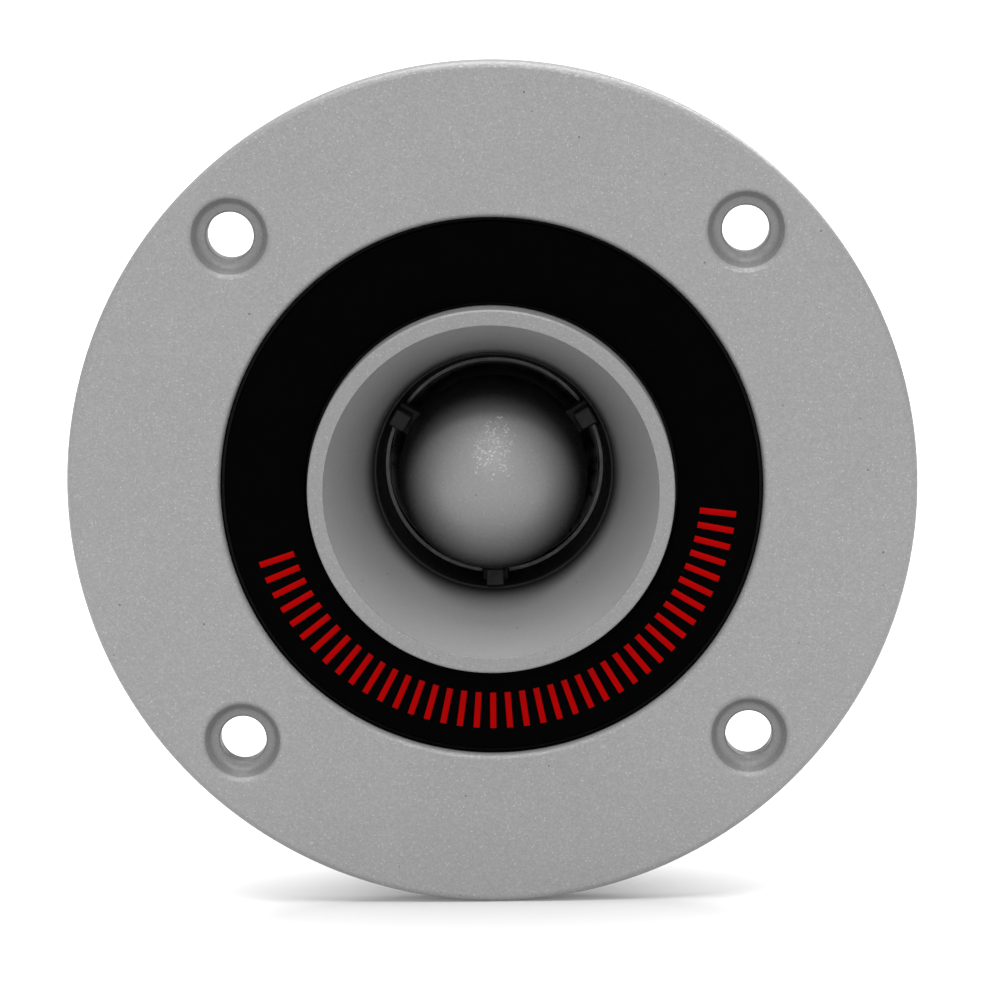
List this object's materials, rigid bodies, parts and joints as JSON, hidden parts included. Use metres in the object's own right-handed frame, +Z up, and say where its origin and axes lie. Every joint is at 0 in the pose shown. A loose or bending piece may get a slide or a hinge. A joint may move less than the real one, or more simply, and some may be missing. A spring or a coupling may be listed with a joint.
{
  "type": "car horn tweeter",
  "caption": "Round flanged horn tweeter with a bullet phase plug in a raised bell, a ferrite motor behind and sprung push terminals on its rear.",
  "frame": {"origin": "on the horn's axis, in the plane of the flange's rear face, which seats on the panel", "axes": "+Y along the horn's axis towards the rear, so the bell faces -Y; +Z up; +X to the right seen from the front"},
  "size_m": [0.1, 0.067, 0.1],
  "materials": {
    "silver_paint": "die-cast alloy in fine metallic silver paint, satin",
    "black_trim": "black, semi-gloss",
    "black_plastic": "black moulded, satin",
    "bright_aluminium": "bright turned",
    "titanium": "formed titanium foil",
    "zinc_steel": "zinc plated",
    "black_oxide": "black oxide",
    "ferrite": "sintered ferrite, matte",
    "polyimide": "amber film",
    "copper": "enamelled copper wire",
    "brass": "stamped strip",
    "foam": "closed-cell foam",
    "felt": "grey felt",
    "red_plastic": "red moulded, satin",
    "spring_steel": "drawn wire"
  },
  "bodies": {
    "root": {"horn_casting": "silver_paint", "trim_ring": "black_trim", "phase_plug": "silver_paint", "plug_spider": "black_plastic", "throat_ring": "bright_aluminium", "horn_gasket": "foam", "horn_screw_1": "black_oxide", "horn_screw_2": "black_oxide", "horn_screw_3": "black_oxide", "horn_screw_4": "black_oxide", "plug_screw": "zinc_steel", "diaphragm_frame": "black_plastic", "locating_pin_1": "zinc_steel", "locating_pin_2": "zinc_steel", "solder_tab_black": "brass", "solder_tab_red": "brass", "lead_out_black": "copper", "lead_out_red": "copper", "top_plate": "zinc_steel", "magnet_ring": "ferrite", "yoke": "zinc_steel", "damping_felt": "felt", "terminal_block": "black_plastic", "terminal_cover": "black_plastic", "terminal_screw_black": "zinc_steel", "terminal_screw_red": "zinc_steel", "button_spring_black": "spring_steel", "button_spring_red": "spring_steel", "contact_black": "brass", "contact_red": "brass", "lead_wire_black": "black_plastic", "lead_wire_red": "red_plastic"},
    "diaphragm": {"titanium_diaphragm": "titanium", "coil_former": "polyimide", "voice_coil": "copper"},
    "button_black": {"button_black": "black_plastic"},
    "button_red": {"button_red": "red_plastic"}
  },
  "joints": [
    {"name": "diaphragm_travel", "type": "slide", "parent": "root", "child": "diaphragm", "axis": [0, -1, 0], "range_m": [-0.0004, 0.0004], "stiffness_N_per_m": 3000},
    {"name": "button_black_press", "type": "slide", "parent": "root", "child": "button_black", "axis": [0, -1, 0], "range_m": [0, 0.0022], "stiffness_N_per_m": 800, "springref_m": -0.0012, "deforming": ["button_spring_black"]},
    {"name": "button_red_press", "type": "slide", "parent": "root", "child": "button_red", "axis": [0, -1, 0], "range_m": [0, 0.0022], "stiffness_N_per_m": 800, "springref_m": -0.0012, "deforming": ["button_spring_red"]}
  ]
}
